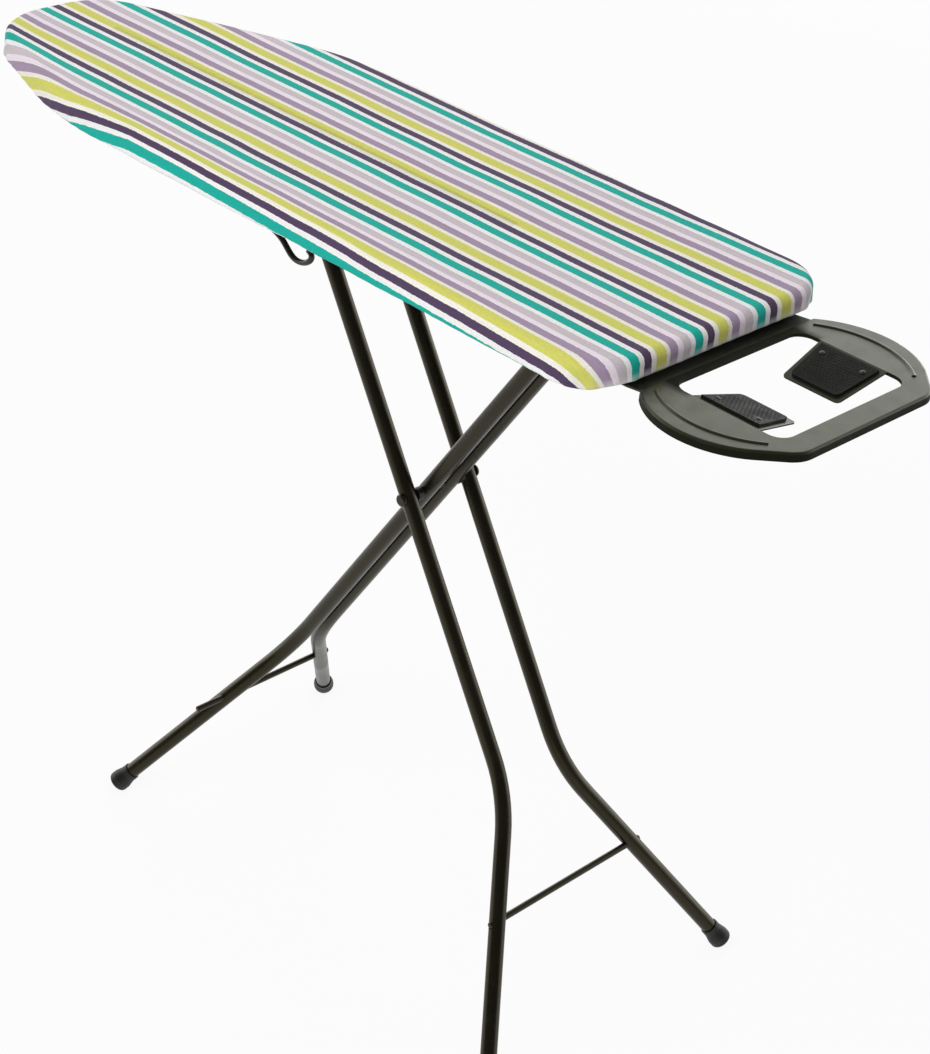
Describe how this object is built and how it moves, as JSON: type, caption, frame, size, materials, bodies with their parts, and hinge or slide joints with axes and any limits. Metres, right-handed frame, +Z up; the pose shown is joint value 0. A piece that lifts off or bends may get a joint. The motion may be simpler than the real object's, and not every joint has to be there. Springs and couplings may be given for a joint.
{
  "type": "ironing board",
  "caption": "Folding ironing board with a striped padded top, crossed tube legs that slide and lock at any height, a wire release lever and an open pressed iron rest.",
  "frame": {"origin": "on the floor, under the middle of the board with its iron rest", "axes": "+X from the nose to the iron rest, +Y to the left, +Z up"},
  "size_m": [1.3, 0.449, 0.95],
  "materials": {
    "striped_cotton": "woven striped cotton",
    "felt": "needled felt",
    "frame_steel": "black stove enamel",
    "zinc_steel": "zinc plated",
    "rest_enamel": "gloss graphite enamel",
    "rail_black": "satin black enamel",
    "heatproof_pad": "ribbed silicone",
    "rivet_steel": "domed rivet heads",
    "foot_plastic": "moulded black plastic",
    "shoe_plastic": "moulded natural nylon",
    "lever_black": "gloss black enamel on bent wire",
    "leg_enamel": "gloss black enamel on steel tube"
  },
  "bodies": {
    "board": {"cover": "striped_cotton", "deck": "frame_steel", "deck_brace_end": "frame_steel", "deck_brace_nose": "frame_steel", "felt_pad": "felt", "heat_pad_left": "heatproof_pad", "heat_pad_right": "heatproof_pad", "hinge_bracket": "frame_steel", "hinge_pin": "zinc_steel", "iron_rest": "rest_enamel", "lock_rod": "zinc_steel", "lock_rod_hangers": "frame_steel", "pad_rivets": "rivet_steel", "rest_rail": "rail_black", "rest_screws": "zinc_steel", "rim_tube": "frame_steel", "slide_rail_left": "frame_steel", "slide_rail_right": "frame_steel"},
    "rear_legs": {"pivot_rod": "leg_enamel", "pivot_spacers": "foot_plastic", "rear_crossbar": "leg_enamel", "rear_foot_left": "foot_plastic", "rear_foot_right": "foot_plastic", "rear_hinge_sleeve": "leg_enamel", "rear_leg_left": "leg_enamel", "rear_leg_right": "leg_enamel"},
    "front_legs": {"front_crossbar": "leg_enamel", "front_foot_left": "foot_plastic", "front_foot_right": "foot_plastic", "front_leg_left": "leg_enamel", "front_leg_right": "leg_enamel", "front_top_bar": "leg_enamel"},
    "slider": {"lever_spring": "zinc_steel", "lock_bracket": "zinc_steel", "slide_shoe_left": "shoe_plastic", "slide_shoe_right": "shoe_plastic"},
    "lever": {"height_lever": "lever_black", "lock_plate": "zinc_steel"}
  },
  "joints": [
    {"name": "leg_fold", "type": "hinge", "parent": "board", "child": "rear_legs", "pos_m": [0.3026, 0, 0.9255], "axis": [0, 1, 0], "range_deg": [0, 52.5]},
    {"name": "leg_cross", "type": "hinge", "parent": "rear_legs", "child": "front_legs", "pos_m": [0.08333, 0, 0.58131], "axis": [0, 1, 0], "range_deg": [-105.01, 0.01]},
    {"name": "slide_level", "type": "hinge", "parent": "front_legs", "child": "slider", "pos_m": [-0.13594, 0, 0.9255], "axis": [0, 1, 0], "range_deg": [-0.01, 52.51]},
    {"name": "lever_squeeze", "type": "hinge", "parent": "slider", "child": "lever", "pos_m": [-0.15994, 0, 0.894], "axis": [0, -1, 0], "range_deg": [0, 12], "stiffness_Nm_per_rad": 1.2, "springref_deg": -17.19}
  ],
  "couplings": [
    {"joint": "leg_cross", "follows": "leg_fold", "ratio": -2},
    {"joint": "slide_level", "follows": "leg_fold", "ratio": 1}
  ]
}
